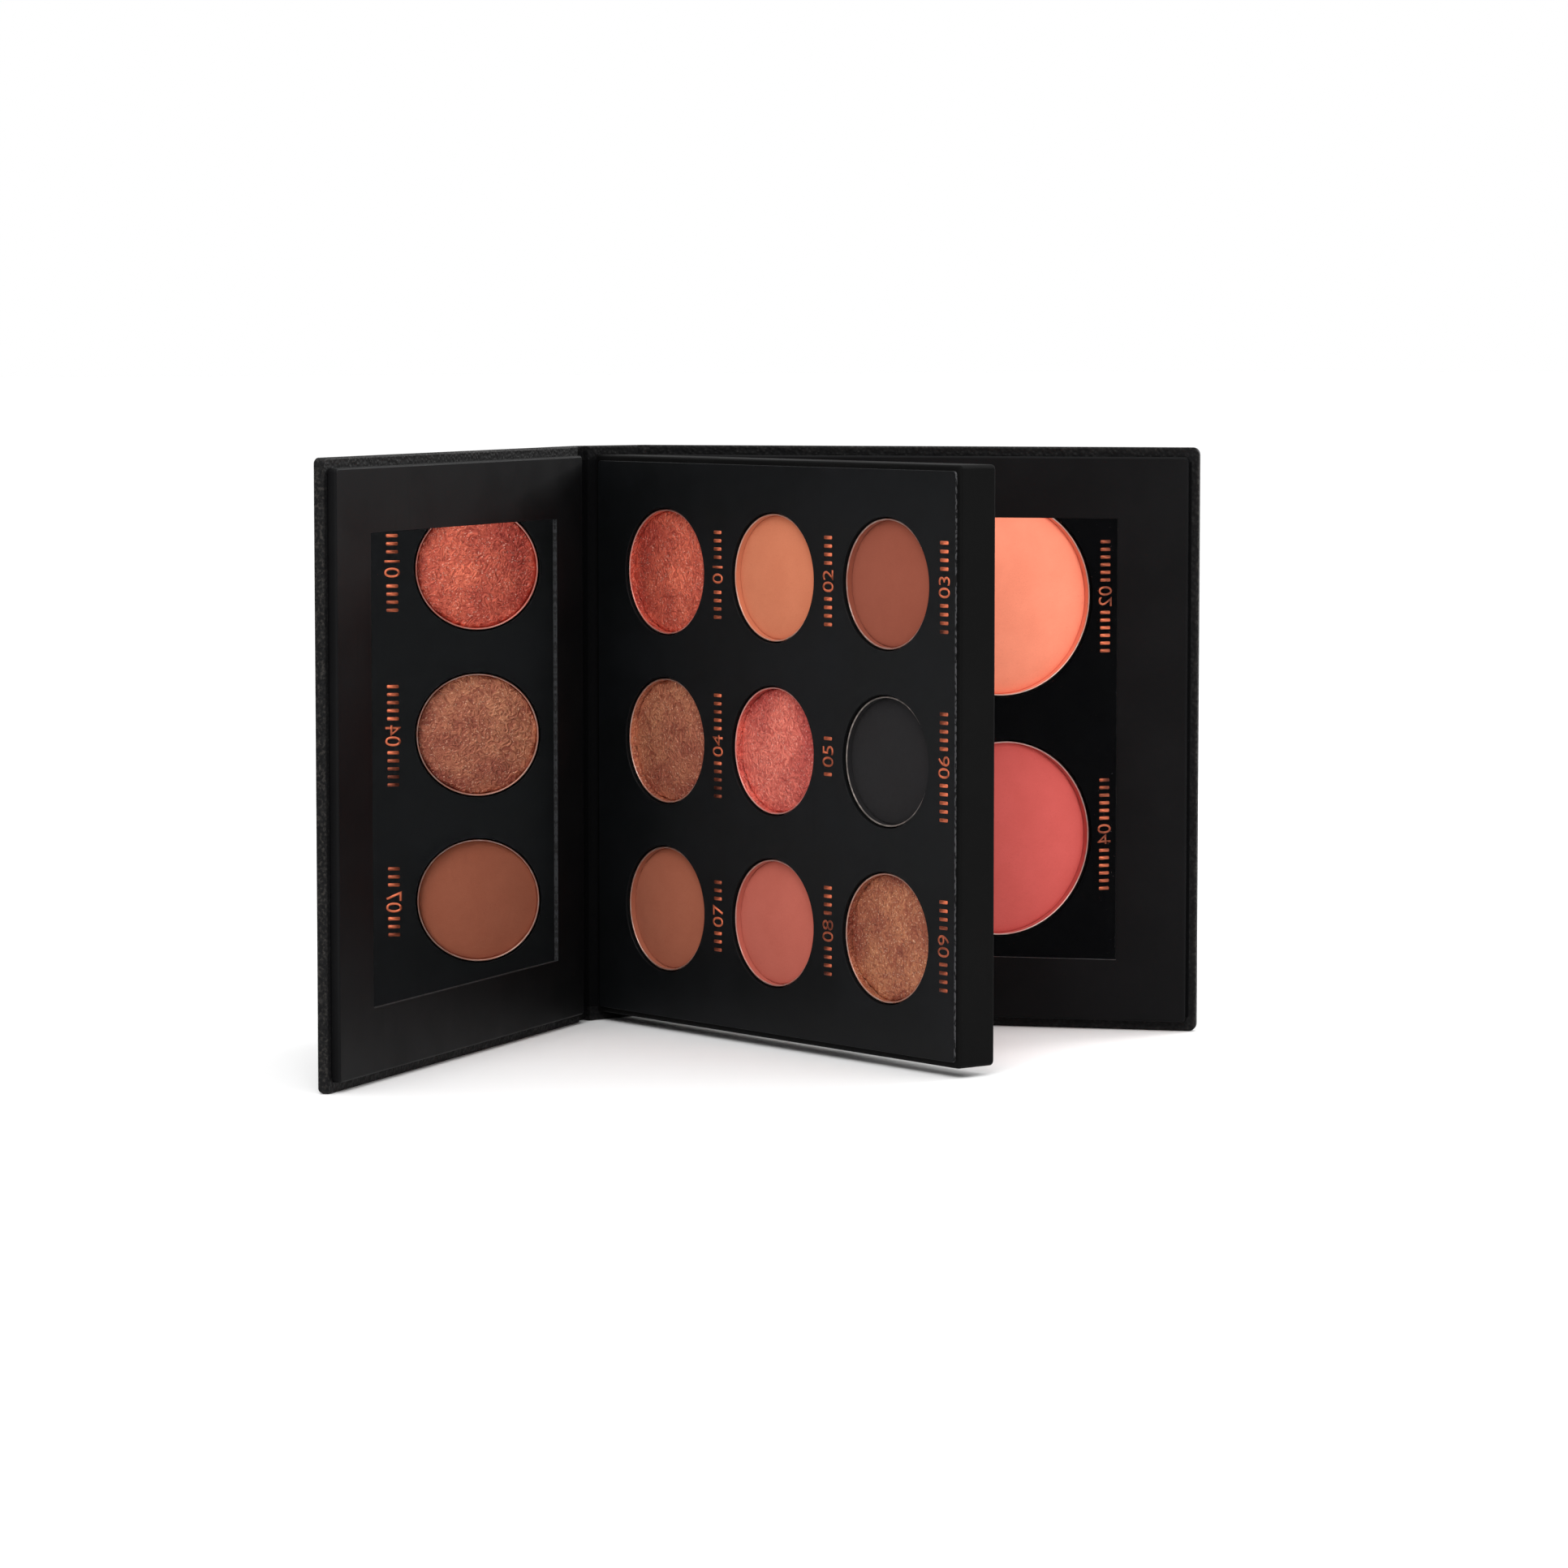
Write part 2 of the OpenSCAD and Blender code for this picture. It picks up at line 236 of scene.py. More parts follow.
def cut_edge(name, dark, light):
    """The cut side of a card: black, with its paler core showing in flecks along the edge."""
    s = Shader(name, Roughness=0.75, Specular_IOR_Level=0.25)
    flecks = s.span(s.noise(0.5 * MM, detail=2, stretch=(1, 1, 0.6)), 0.45, 0.55)
    s.set(Base_Color=s.mix(flecks, rgb(*dark), rgb(*light)), Normal=s.bump(flecks, 0.02 * MM))
    return s.material


def mirror_silver():
    """Silvered glass with faint smears and dust, which only dull the reflection."""
    s = Shader("mirror_silver", Metallic=1.0)
    smears = s.span(s.noise(11 * MM, detail=6, stretch=(1, 1, 0.5)), 0.5, 0.8, 0.0, 0.03)
    dust = s.span(s.noise(0.25 * MM, detail=1), 0.74, 0.8, 0.0, 0.1)
    s.set(
        Base_Color=s.mix(s.noise(30 * MM), rgb(243, 245, 246), rgb(247, 249, 249)),
        Roughness=s.math("ADD", smears, dust),
    )
    return s.material


def greyboard(name, dark, light):
    """Pulped board with a coarse, fibrous mottle."""
    s = Shader(name, Roughness=0.9, Specular_IOR_Level=0.2)
    fibres = s.noise(0.5 * MM, detail=6)
    s.set(Base_Color=s.mix(fibres, rgb(*dark), rgb(*light)), Normal=s.bump(fibres, 0.03 * MM))
    return s.material


def mottled(name, dark, light, size, roughness, metallic=0.0):
    """A plain finish in two tones, mottled and bumped at one size."""
    s = Shader(name, Metallic=metallic)
    blobs = s.noise(size, detail=4)
    s.set(
        Base_Color=s.mix(blobs, rgb(*dark), rgb(*light)),
        Roughness=s.span(blobs, 0.3, 0.7, roughness, roughness + 0.12),
        Normal=s.bump(blobs, size / 20),
    )
    return s.material


def copper_foil():
    """Hot-stamped foil: metallic, rubbed darker in places, and slightly crinkled."""
    s = Shader("copper_foil", Metallic=0.75)
    rubbed = s.span(s.noise(9 * MM, detail=5), 0.42, 0.62)
    crinkle = s.noise(0.3 * MM, detail=3)
    s.set(
        Base_Color=s.mix(rubbed, rgb(220, 116, 80), rgb(96, 46, 32)),
        Roughness=s.span(crinkle, 0.3, 0.7, 0.35, 0.6),
        Normal=s.bump(crinkle, 0.02 * MM),
    )
    return s.material


# --- make-up materials ------------------------------------------------------------------------


def tin_with_dust_and_painted_reflection(name, powder, dust):
    """Drawn tinplate with fine drawing lines, under a patchy powder-coloured film: powder dust and a
    painted reflection of the powder. dust is how much the film covers, from 0 to 1, where it is thickest."""
    s = Shader(name)
    drawn = s.noise(0.2 * MM, detail=3, stretch=(1, 0.05, 1))
    # the film turns the metal the powder's colour: powder dust, and a painted reflection of the powder in
    # the tin
    dust_and_reflection_film = s.span(s.noise(1.6 * MM, detail=5), 0.3, 0.6, dust - 0.5, dust)
    metal = s.mix(s.noise(2 * MM, detail=4), rgb(158, 146, 138), rgb(200, 187, 179))
    s.set(
        Base_Color=s.mix(dust_and_reflection_film, metal, rgb(*powder)),
        Metallic=s.span(dust_and_reflection_film, 0.0, 1.0, 1.0, 0.3),
        Roughness=s.span(drawn, 0.3, 0.7, 0.3, 0.45),
        Normal=s.bump(drawn, 0.004 * MM),
    )
    return s.material


def matte_powder(name, colour):
    """Pressed powder: a soft, dry grain, faint clouds of shade and a few stray specks."""
    s = Shader(name, Roughness=0.9, Specular_IOR_Level=0.06, Sheen_Weight=0.02, Sheen_Roughness=0.6)
    clouds = s.span(s.noise(8 * MM, detail=5), 0.35, 0.65)
    grain = s.noise(0.16 * MM, detail=3)
    specks = s.span(s.noise(0.4 * MM, detail=2), 0.66, 0.74, 0.0, 0.25)
    base = s.mix(clouds, shade(colour, 0.985, 0.975, 0.97), shade(colour, 1.012, 1.02, 1.024))
    base = s.mix(s.span(grain, 0.35, 0.75, 0.0, 0.3), base, shade(colour, 0.88, 0.85, 0.85))
    base = s.mix(specks, base, shade(colour, 0.78, 0.72, 0.72))
    normal = s.bump(s.noise(1.1 * MM, detail=4), 0.04 * MM)
    s.set(Base_Color=base, Normal=s.bump(grain, 0.02 * MM, normal))
    return s.material


def shimmer_powder(name, colour, painted_glint, contrast):
    """Pressed powder full of pearl flakes, each tilted its own way, a few painted pale as glints,
    on a swirled ground with painted shade in small pits.
    contrast is how strongly the ground is mottled, from 0 to 1."""
    def tone(*gains):
        return shade(colour, *(1 + contrast * (gain - 1) for gain in gains))

    s = Shader(name, Metallic=0.45, Specular_IOR_Level=0.4)
    flakes = s.cells(0.22 * MM).outputs["Color"]
    own = s.add("ShaderNodeSeparateColor", {"Color": flakes})
    swirls = s.span(s.noise(1.7 * MM, detail=3, swirl=2.4), 0.34, 0.66)
    sweep = s.span(s.noise(11 * MM, detail=1), 0.36, 0.64)
    # painted shade: the ground drawn darker in small pits
    pit_shade = s.span(s.noise(0.8 * MM, detail=2, swirl=1.5), 0.56, 0.7, 0.0, 0.5)
    low = s.mix(sweep, tone(0.75, 0.58, 0.61), tone(0.96, 0.9, 0.89))
    high = s.mix(sweep, tone(1.0, 0.93, 0.95), tone(1.24, 1.42, 1.38))
    base = s.mix(swirls, low, high)
    base = s.mix(s.span(own.outputs[0], 0.0, 1.0, 0.0, 0.16), base, tone(0.74, 0.62, 0.6))
    base = s.mix(pit_shade, base, tone(0.55, 0.45, 0.45))
    # a few flakes painted in the glint colour: painted glints
    base = s.mix(s.span(own.outputs[1], 0.92, 0.98, 0.0, 0.4), base, rgb(*painted_glint))
    centred = s.add("ShaderNodeVectorMath", {0: flakes, 1: (-0.5, -0.5, -0.5)}, operation="ADD")
    tilt = s.add("ShaderNodeVectorMath", {0: centred.outputs[0], "Scale": 0.16}, operation="SCALE")
    ground = s.bump(swirls, 0.16 * MM)
    tilted = s.add("ShaderNodeVectorMath", {0: ground, 1: tilt.outputs[0]}, operation="ADD")
    normal = s.add("ShaderNodeVectorMath", {0: tilted.outputs[0]}, operation="NORMALIZE")
    s.set(
        Base_Color=base,
        Normal=normal.outputs[0],
        Roughness=s.span(own.outputs[2], 0.0, 1.0, 0.36, 0.6),
    )
    return s.material


LEATHERETTE = leatherette()
LINING = lining_paper()
PANEL = black_card("panel_card", (12, 12, 13), (16, 16, 17), 0.46, 0.07)
CARD = black_card("tray_card", (11, 12, 13), (15, 16, 18), 0.42, 0.1)
# painted shade: the same card as the front, drawn darker for the back face in the back cover's wedge
SHADED_BACK_CARD = black_card("back_card_painted_shade", (3, 3, 4), (6, 6, 7), 0.5, 0.02)
TRAY_PAPER = black_card("tray_paper", (8, 8, 8), (12, 12, 12), 0.6, 0.05)
CARD_EDGE = cut_edge("card_cut_edge", (16, 16, 17), (80, 80, 82))
WINDOW_EDGE = cut_edge("window_cut_edge", (12, 12, 13), (40, 41, 43))
MIRROR = mirror_silver()
BOARD = greyboard("greyboard", (96, 92, 86), (138, 133, 125))
DARK_BOARD = greyboard("dyed_board", (22, 21, 21), (38, 36, 35))
TAPE = mottled("foam_tape", (214, 211, 202), (236, 233, 225), 0.6 * MM, 0.7)
MAGNET = mottled("nickel_plate", (170, 172, 176), (198, 200, 204), 1.5 * MM, 0.2, metallic=1.0)
GLUE = mottled("hot_glue", (208, 190, 140), (226, 212, 170), 3 * MM, 0.35)
FOIL = copper_foil()

# Each powder's record slot, its colour, and the colour of its flakes' painted glints, or None if
# it is matte.
EYESHADOWS = [
    ("eyeshadow_copper_red", (204, 92, 72), (255, 204, 182)),
    ("eyeshadow_peach_tan", (196, 116, 85), None),
    ("eyeshadow_red_brown", (138, 74, 57), None),
    ("eyeshadow_bronze_brown", (170, 98, 74), (255, 208, 174)),
    ("eyeshadow_pink_coral", (210, 100, 88), (255, 205, 190)),
    ("eyeshadow_charcoal", (32, 31, 32), None),
    ("eyeshadow_warm_brown", (155, 89, 67), None),
    ("eyeshadow_dusty_rose", (179, 94, 80), None),
    ("eyeshadow_gold_bronze", (160, 92, 67), (255, 214, 180)),
]
FACE_POWDERS = [
    ("face_powder_champagne", (205, 160, 132), (255, 232, 212)),
    ("face_powder_coral_peach", (250, 146, 116), None),
    ("face_powder_bronze", (170, 108, 78), None),
    ("face_powder_red_coral", (208, 92, 86), None),
]

# --- mesh tools -------------------------------------------------------------------------------

WELD = MM / 1000            # points closer than this are one point
SHARP_ANGLE = 35            # degrees between faces, past which an edge shades sharp
CDT_EPSILON = 1e-9          # how near counts as touching when a flat face is cut into triangles


def make_piece(name, points, faces, materials, kinds):
    """A mesh object from points in metres, with its faces turned outwards. kinds gives the
    material of each face."""
    mesh = bpy.data.meshes.new(name)
    mesh.from_pydata([tuple(p) for p in points], [], faces)
    for material in materials:
        mesh.materials.append(material)
    mesh.polygons.foreach_set("material_index", np.array(kinds, np.int32))
    solid = bmesh.new()
    solid.from_mesh(mesh)
    bmesh.ops.remove_doubles(solid, verts=solid.verts, dist=WELD)
    bmesh.ops.recalc_face_normals(solid, faces=solid.faces)
    solid.to_mesh(mesh)
    solid.free()
    for polygon in mesh.polygons:
        polygon.use_smooth = True
    mesh.set_sharp_from_angle(angle=math.radians(SHARP_ANGLE))
    obj = bpy.data.objects.new(name, mesh)
    bpy.context.scene.collection.objects.link(obj)
    return obj


def keep_flats_flat(obj):
    """Lets a rounded edge shade into the flat faces beside it without bending them."""
    obj.modifiers.new("even_normals", "WEIGHTED_NORMAL").keep_sharp = True


class Side:
    """The front or the back of the palette. A cover's own frame is: s from the hinge axis to the
    free edge, d inwards from the middle of the wrap, and z up. All in metres."""

    def __init__(self, name, sign):
        self.name = name
        self.sign = sign
        self.cover = name + "_cover"
        joint = next(j for j in frame["joints"] if j["child"] == self.cover)
        self.open = math.radians(-joint["range_deg"][0])
        self.hinge = (joint["pos_m"][0], -abs(joint["pos_m"][1]))

    def on_tray(self, x, h, z):
        """A point h metres out from the tray's middle plane."""
        return (x, -self.sign * h, z)

    def on_cover(self, s, d, z):
        c, n = math.cos(self.open), math.sin(self.open)
        return (self.hinge[0] + s * c + d * n, self.sign * (self.hinge[1] - s * n + d * c), z)

    def cover_points(self, part):
        """The points of a CAD node on this side's cover, as rows of (s, d, z)."""
        points = np.array([v.co for v in frame["nodes"][f"{self.name}_{part}"].data.vertices], float)
        x, y = points[:, 0] - self.hinge[0], self.sign * points[:, 1] - self.hinge[1]
        c, n = math.cos(self.open), math.sin(self.open)
        return np.stack([x * c - y * n, x * n + y * c, points[:, 2]], 1)

    def cover_box(self, part):
        """Lowest and highest (s, d, z) of a CAD node on this side's cover."""
        points = self.cover_points(part)
        return points.min(0).tolist(), points.max(0).tolist()

    def tray_box(self, node):
        """Lowest and highest (x, h, z) of a CAD node on this side of the tray."""
        low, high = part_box(node)
        near, far = sorted((-self.sign * low.y, -self.sign * high.y))
        return (low.x, near, low.z), (high.x, far, high.z)


FRONT, BACK = Side("front", 1), Side("back", -1)
SIDES = (FRONT, BACK)


def quarter(steps):
    """(sine, 1 - cosine) of steps + 1 angles over a quarter turn, for rounding an edge."""
    angles = [i / steps * TAU / 4 for i in range(steps + 1)]
    return [(math.sin(a), 1 - math.cos(a)) for a in angles]


def corner(x, z, r, start, steps):
    """Points round a corner's centre, from start quarter turns on."""
    angles = [(start + i / steps) * TAU / 4 for i in range(steps + 1)]
    return [(x + r * math.cos(a), z + r * math.sin(a)) for a in angles]


def circle(x, z, r, count=96):
    return [(x + r * math.cos(i / count * TAU), z + r * math.sin(i / count * TAU)) for i in range(count)]


def rectangle(x0, x1, z0, z1, r=0.0, steps=6):
    """Loop of points round a rectangle, from its lower right corner on."""
    if r <= 0:
        return [(x1, z0), (x1, z1), (x0, z1), (x0, z0)]
    centres = ((x1 - r, z0 + r), (x1 - r, z1 - r), (x0 + r, z1 - r), (x0 + r, z0 + r))
    return [p for (x, z), start in zip(centres, (3, 0, 1, 2)) for p in corner(x, z, r, start, steps)]


def is_inside(point, loop):
    x, z = point
    hit = False
    for (xa, za), (xb, zb) in zip(loop, loop[1:] + loop[:1]):
        if (za > z) != (zb > z) and x < (xb - xa) * (z - za) / (zb - za) + xa:
            hit = not hit
    return hit


def triangles_between(outer, holes):
    """Triangles over a flat outline with holes, as indices into its loops' points in turn."""
    loops = [outer] + holes
    points = [Vector(p) for loop in loops for p in loop]
    edges = []
    for loop in loops:
        start = len(edges)
        edges += [(start + i, start + (i + 1) % len(loop)) for i in range(len(loop))]
    faces = geometry.delaunay_2d_cdt(points, edges, [], 0, CDT_EPSILON)[2]
    kept = []
    for face in faces:
        middle = sum((points[i] for i in face), Vector((0, 0))) / len(face)
        if is_inside(middle, outer) and not any(is_inside(middle, hole) for hole in holes):
            kept.append(tuple(face))
    return kept


class Solid:
    """Collects the faces of a piece that is made of loops at different heights. place turns
    (across, height, up) into a point in the shared frame."""

    def __init__(self, place):
        self.place = place
        self.points, self.faces, self.kinds = [], [], []

    def loop(self, outline, height):
        start = len(self.points)
        self.points += [self.place(x, height, z) for x, z in outline]
        return range(start, start + len(outline))

    def face(self, *corners, kind=0):
        self.faces.append(corners)
        self.kinds.append(kind)

    def band(self, first, second, kind=0, is_open=False):
        """Faces between two loops. An open band stops short of joining its ends."""
        count = len(first)
        for i in range(count - 1 if is_open else count):
            j = (i + 1) % count
            self.face(first[i], first[j], second[j], second[i], kind=kind)

    def stack(self, layers, kind=0, is_open=False):
        """Bands through a list of (outline, height)."""
        loops = [self.loop(outline, height) for outline, height in layers]
        for first, second in zip(loops, loops[1:]):
            self.band(first, second, kind, is_open)

    def cap(self, outline, holes, height, kind=0):
        """A flat face with holes. Its points land on those of the loops round it."""
        start = len(self.points)
        for loop in [outline] + holes:
            self.loop(loop, height)
        for triangle in triangles_between(outline, holes):
            self.face(*(start + i for i in triangle), kind=kind)

    def tip(self, ring, x, height, z):
        """Closes a ring with a fan to one point."""
        (middle,) = self.loop([(x, z)], height)
        for i in range(len(ring)):
            self.face(ring[i], ring[(i + 1) % len(ring)], middle)

    def piece(self, name, materials):
        return make_piece(name, self.points, self.faces, materials, self.kinds)


# --- case -------------------------------------------------------------------------------------

CASE_EDGE_R = 0.45 * MM     # how round the wrapped edges are
CASE_CORNER_R = 1.5 * MM    # how round the covers' outer corners are
GUTTER_LIP = 0.3 * MM       # width of the shoulder where the lining drops into a gutter
GUTTER_INSIDE = 0.5 * MM    # height of the lining in a gutter
GUTTER_PRESS = 0.12 * MM    # depth of the pressed joint outside
GUTTER_PULL = 0.4           # how far the strip's curve is drawn in, as a share of its span
GUTTER_STEPS = 32
BEND_REACH = 1.5 * MM       # from a hinge's axis out along its cover
EDGE_STATIONS = 15          # cross-sections over a cover's rounded free edge
LINING_INSET = 3 * MM       # from the case's top and bottom to the lining
TURN_IN = 12 * MM           # how far the leatherette is turned in at the free edge
WEAR_AND_HIGHLIGHT_REACH = 1.2 * MM       # how far the lighter edge spreads in from an edge: wear and painted highlight
SECTION_STEPS = 5           # faces over each rounded corner of a cross-section


def bernstein(t):
    u = 1 - t
    return (u ** 3, 3 * t * u ** 2, 3 * t ** 2 * u, t ** 3)


def bernstein_slope(t):
    u = 1 - t
    return (-u ** 2, u ** 2 - 2 * t * u, 2 * t * u - t ** 2, t ** 2)


def weighted(knots, weights):
    return sum((k * w for k, w in zip(knots, weights)), Vector((0, 0)))


def gutter_stations(side, half_gutter, outer, inner):
    """Cross-sections through the gutter, along the same curve as the CAD's hinge strip."""
    along = Vector((math.cos(side.open), -math.sin(side.open)))
    start, finish = Vector((0, half_gutter)), half_gutter * along
    pull = GUTTER_PULL * (finish - start).length
    knots = [start, start - Vector((0, pull)), finish - pull * along, finish]
    length = sum((b - a).length for a, b in zip(knots, knots[1:]))
    stations = []
    for i in range(1, GUTTER_STEPS):
        t = i / GUTTER_STEPS
        p = weighted(knots, bernstein(t))
        run = weighted(knots, bernstein_slope(t)).normalized()
        depth = min(t, 1 - t) * length
        fall = math.sqrt(max(0.0, 1 - (depth / GUTTER_LIP) ** 2))
        press = GUTTER_PRESS * math.sin(min(1.0, depth / MM) * TAU / 4) ** 2
        place = (side.hinge[0] + p.x, side.hinge[1] + p.y)
        inside = GUTTER_INSIDE + (inner - GUTTER_INSIDE) * fall
        stations.append((place, (-run.y, run.x), outer + press, inside, 0.0))
    return stations


def case_stations(side):
    """Cross-sections of half the case, from the middle of the spine to the cover's free edge,
    drawn for the front: (place, direction inwards, outer offset, inner offset, inset of the
    top and bottom)."""
    low, high = side.cover_box("cover_wrap")
    half_gutter, end, outer, inner = low[0], high[0], low[1], high[1]
    stations = []
    for share in (0.0, 0.3, 0.6, 0.85, 1.0):
        place = (side.hinge[0], share * (side.hinge[1] + half_gutter))
        stations.append((place, (1.0, 0.0), outer, inner, 0.0))
    stations += gutter_stations(side, half_gutter, outer, inner)
    inwards = (math.sin(side.open), math.cos(side.open))

    def add(s, squeeze, inset):
        place = (side.hinge[0] + s * inwards[1], side.hinge[1] - s * inwards[0])
        stations.append((place, inwards, outer + squeeze, inner - squeeze, inset))

    for share in (0.0, 0.02, 0.1, 0.35, 0.65, 1.0):
        add(half_gutter + share * (end - TURN_IN - half_gutter), 0.0, 0.0)
    straight = end - CASE_CORNER_R
    for sine, drop in quarter(EDGE_STATIONS - 1):
        s = straight + CASE_CORNER_R * sine
        reach = max(0.0, s - (end - CASE_EDGE_R))
        squeeze = CASE_EDGE_R - math.sqrt(max(0.0, CASE_EDGE_R ** 2 - reach ** 2))
        add(s, squeeze, CASE_CORNER_R * drop)
    return stations


def section(outer, inner, z0, z1):
    """Loop of (offset, z) round one cross-section. Each side has two more points, level with
    where the lining starts and ends."""
    r = min(CASE_EDGE_R, 0.45 * (inner - outer))
    loop = rectangle(outer, inner, z0, z1, r, SECTION_STEPS)
    first, third = SECTION_STEPS + 1, 3 * (SECTION_STEPS + 1)
    low, high = LINING_INSET, cad_high.z - LINING_INSET
    inner_side, outer_side = [(inner, low), (inner, high)], [(outer, high), (outer, low)]
    return loop[:first] + inner_side + loop[first:third] + outer_side + loop[third:]


def mark_wear_and_highlight(case, side):
    """Stores on each point how near it is to the top, the bottom or the free edge, where the leatherette is
    drawn lighter as wear and painted highlight.
    """
    mesh = case.data
    points = np.array([v.co for v in mesh.vertices], float)
    out = (points[:, 0] - side.hinge[0]) * math.cos(side.open)
    out -= (side.sign * points[:, 1] - side.hinge[1]) * math.sin(side.open)
    free_edge = side.cover_box("cover_wrap")[1][0]
    gap = np.minimum(np.minimum(points[:, 2], cad_high.z - points[:, 2]), free_edge - out)
    edge_wear_and_highlight = np.clip(1 - gap / WEAR_AND_HIGHLIGHT_REACH, 0, 1)
    mesh.attributes.new(EDGE_WEAR_AND_HIGHLIGHT, "FLOAT", "POINT").data.foreach_set("value", edge_wear_and_highlight.astype(np.float32))


def make_case_half(side):
    """Half the case as one piece, curved round the gutter: leatherette, and the lining."""
    height = cad_high.z
    lining = SECTION_STEPS + 1
    points, faces, kinds, loops = [], [], [], []
    stations = case_stations(side)
    for (x, y), (nx, ny), outer, inner, inset in stations:
        loop = section(outer, inner, inset, height - inset)
        loops.append(range(len(points), len(points) + len(loop)))
        points += [(x + t * nx, side.sign * (y + t * ny), z) for t, z in loop]
    lined = len(stations) - EDGE_STATIONS
    for number, (first, second) in enumerate(zip(loops, loops[1:])):
        for i in range(len(first)):
            j = (i + 1) % len(first)
            faces.append((first[i], first[j], second[j], second[i]))
            kinds.append(1 if i == lining and number < lined else 0)
    faces += [tuple(loops[0]), tuple(loops[-1])]
    kinds += [0, 0]
    case = make_piece(f"case_{side.name}_half", points, faces, [LEATHERETTE, LINING], kinds)
    mark_wear_and_highlight(case, side)
    keep_flats_flat(case)
    parts = ("cover_wrap", "cover_liner", "hinge_wrap", "hinge_liner")
    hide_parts("spine_wrap", "spine_liner", *(f"{side.name}_{part}" for part in parts))
    end = side.on_cover(BEND_REACH, 0, height / 2)
    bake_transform(case)


# --- mirror panels ----------------------------------------------------------------------------

PANEL_EDGE_R = 0.45 * MM
PANEL_CORNER_R = 0.8 * MM
WINDOW_EDGE_R = 0.08 * MM
MIRROR_GAP = 0.2 * MM       # round the mirror, in the frame's rebate


def window_of(side):
    """Edges (s0, s1, z0, z1) of the opening in the mask card: of the card's points, those that
    lie inside its outline."""
    points = side.cover_points("panel_card")
    margin = 2 * MM
    inner = np.all((points > points.min(0) + margin)[:, ::2], 1)
    inner &= np.all((points < points.max(0) - margin)[:, ::2], 1)
    low, high = points[inner].min(0), points[inner].max(0)
    return low[0], high[0], low[2], high[2]


def make_mirror_panel(side):
    """The raised, wrapped frame round a mirror, with a rebate that holds the mirror's edges."""
    low, high = side.cover_box("panel_spacer")
    front = side.cover_box("panel_card")[1][1]
    glass_low, glass_high = side.cover_box("mirror")
    back, glass = low[1], glass_high[1]
    s0, s1, z0, z1 = window_of(side)
    seat = rectangle(
        glass_low[0] - MIRROR_GAP, glass_high[0] + MIRROR_GAP,
        glass_low[2] - MIRROR_GAP, glass_high[2] + MIRROR_GAP,
    )

    def outer(inset):
        return rectangle(
            low[0] + inset, high[0] - inset, low[2] + inset, high[2] - inset, PANEL_CORNER_R - inset / 2
        )

    def opening(grow):
        return rectangle(s0 - grow, s1 + grow, z0 - grow, z1 + grow)

    panel = Solid(side.on_cover)
    edge = [(outer(0), back)]
    edge += [(outer(PANEL_EDGE_R * drop), front - PANEL_EDGE_R * (1 - sine)) for sine, drop in quarter(6)]
    panel.stack(edge)
    panel.cap(outer(PANEL_EDGE_R), [opening(WINDOW_EDGE_R)], front)
    lip = [(opening(WINDOW_EDGE_R * (1 - sine)), front - WINDOW_EDGE_R * drop) for sine, drop in quarter(3)]
    panel.stack(lip)
    panel.stack([(opening(0), front - WINDOW_EDGE_R), (opening(0), glass)], kind=1)
    panel.stack([(opening(0), glass), (seat, glass), (seat, back)])
    panel.cap(outer(0), [seat], back)
    piece = panel.piece(f"{side.name}_mirror_panel", [PANEL, WINDOW_EDGE])
    keep_flats_flat(piece)
    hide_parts(f"{side.name}_panel_card", f"{side.name}_panel_spacer")
    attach(piece, side.cover)


# --- tray -------------------------------------------------------------------------------------

TRAY_EDGE_R = 0.5 * MM
TRAY_CORNER_R = 1.0 * MM
PAPER_T = 0.35 * MM
WELL_GAP = 0.3 * MM         # between a pan and the hole round it
CARD_BEVEL = 0.06 * MM
CARD_CORNER_R = 0.8 * MM
WELLS = {
    "front": [f"eyeshadow_pan_{i}" for i in range(1, 10)],
    "back": [f"face_powder_pan_{i}" for i in range(1, 5)],
}


def disc_of(node):
    """Centre x and z, and radius, of a round CAD node that lies flat on the tray."""
    low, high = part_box(node)
    return (low.x + high.x) / 2, (low.z + high.z) / 2, (high.x - low.x) / 2


def well_loops(side, grow=0.0):
    discs = [disc_of(node) for node in WELLS[side.name]]
    return [circle(x, z, r + WELL_GAP + grow) for x, z, r in discs]


def tray_edge(low, high, inset):
    """Open outline along the tray's bottom, free edge and top, from the spine and back to it."""
    r = TRAY_CORNER_R - inset / 2
    x, z0, z1 = high.x - inset - r, low.z + inset, high.z - inset
    return [(low.x, z0)] + corner(x, z0 + r, r, 3, 6) + corner(x, z1 - r, r, 0, 6) + [(low.x, z1)]


def make_tray_wrap():
    """The paper wrapped over the tray's edges and onto both faces: a thin sheet with holes."""
    low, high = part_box("tray_wrap")
    face, r = high.y, TRAY_EDGE_R
    sheet = Solid(FRONT.on_tray)
    layers = [(tray_edge(low, high, r * (1 - sine)), face - r * drop) for sine, drop in quarter(6)]
    layers += [(tray_edge(low, high, r * drop), r * (1 - sine) - face) for sine, drop in quarter(6)]
    sheet.stack(layers, is_open=True)
    sheet.cap(layers[0][0], well_loops(FRONT), face)
    sheet.cap(layers[-1][0], well_loops(BACK), -face)
    wrap = sheet.piece("tray_paper_wrap", [TRAY_PAPER])
    paper = wrap.modifiers.new("paper", "SOLIDIFY")
    paper.thickness = PAPER_T
    paper.offset = -1
    keep_flats_flat(wrap)
    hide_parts("tray_wrap")
    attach(wrap, "tray")


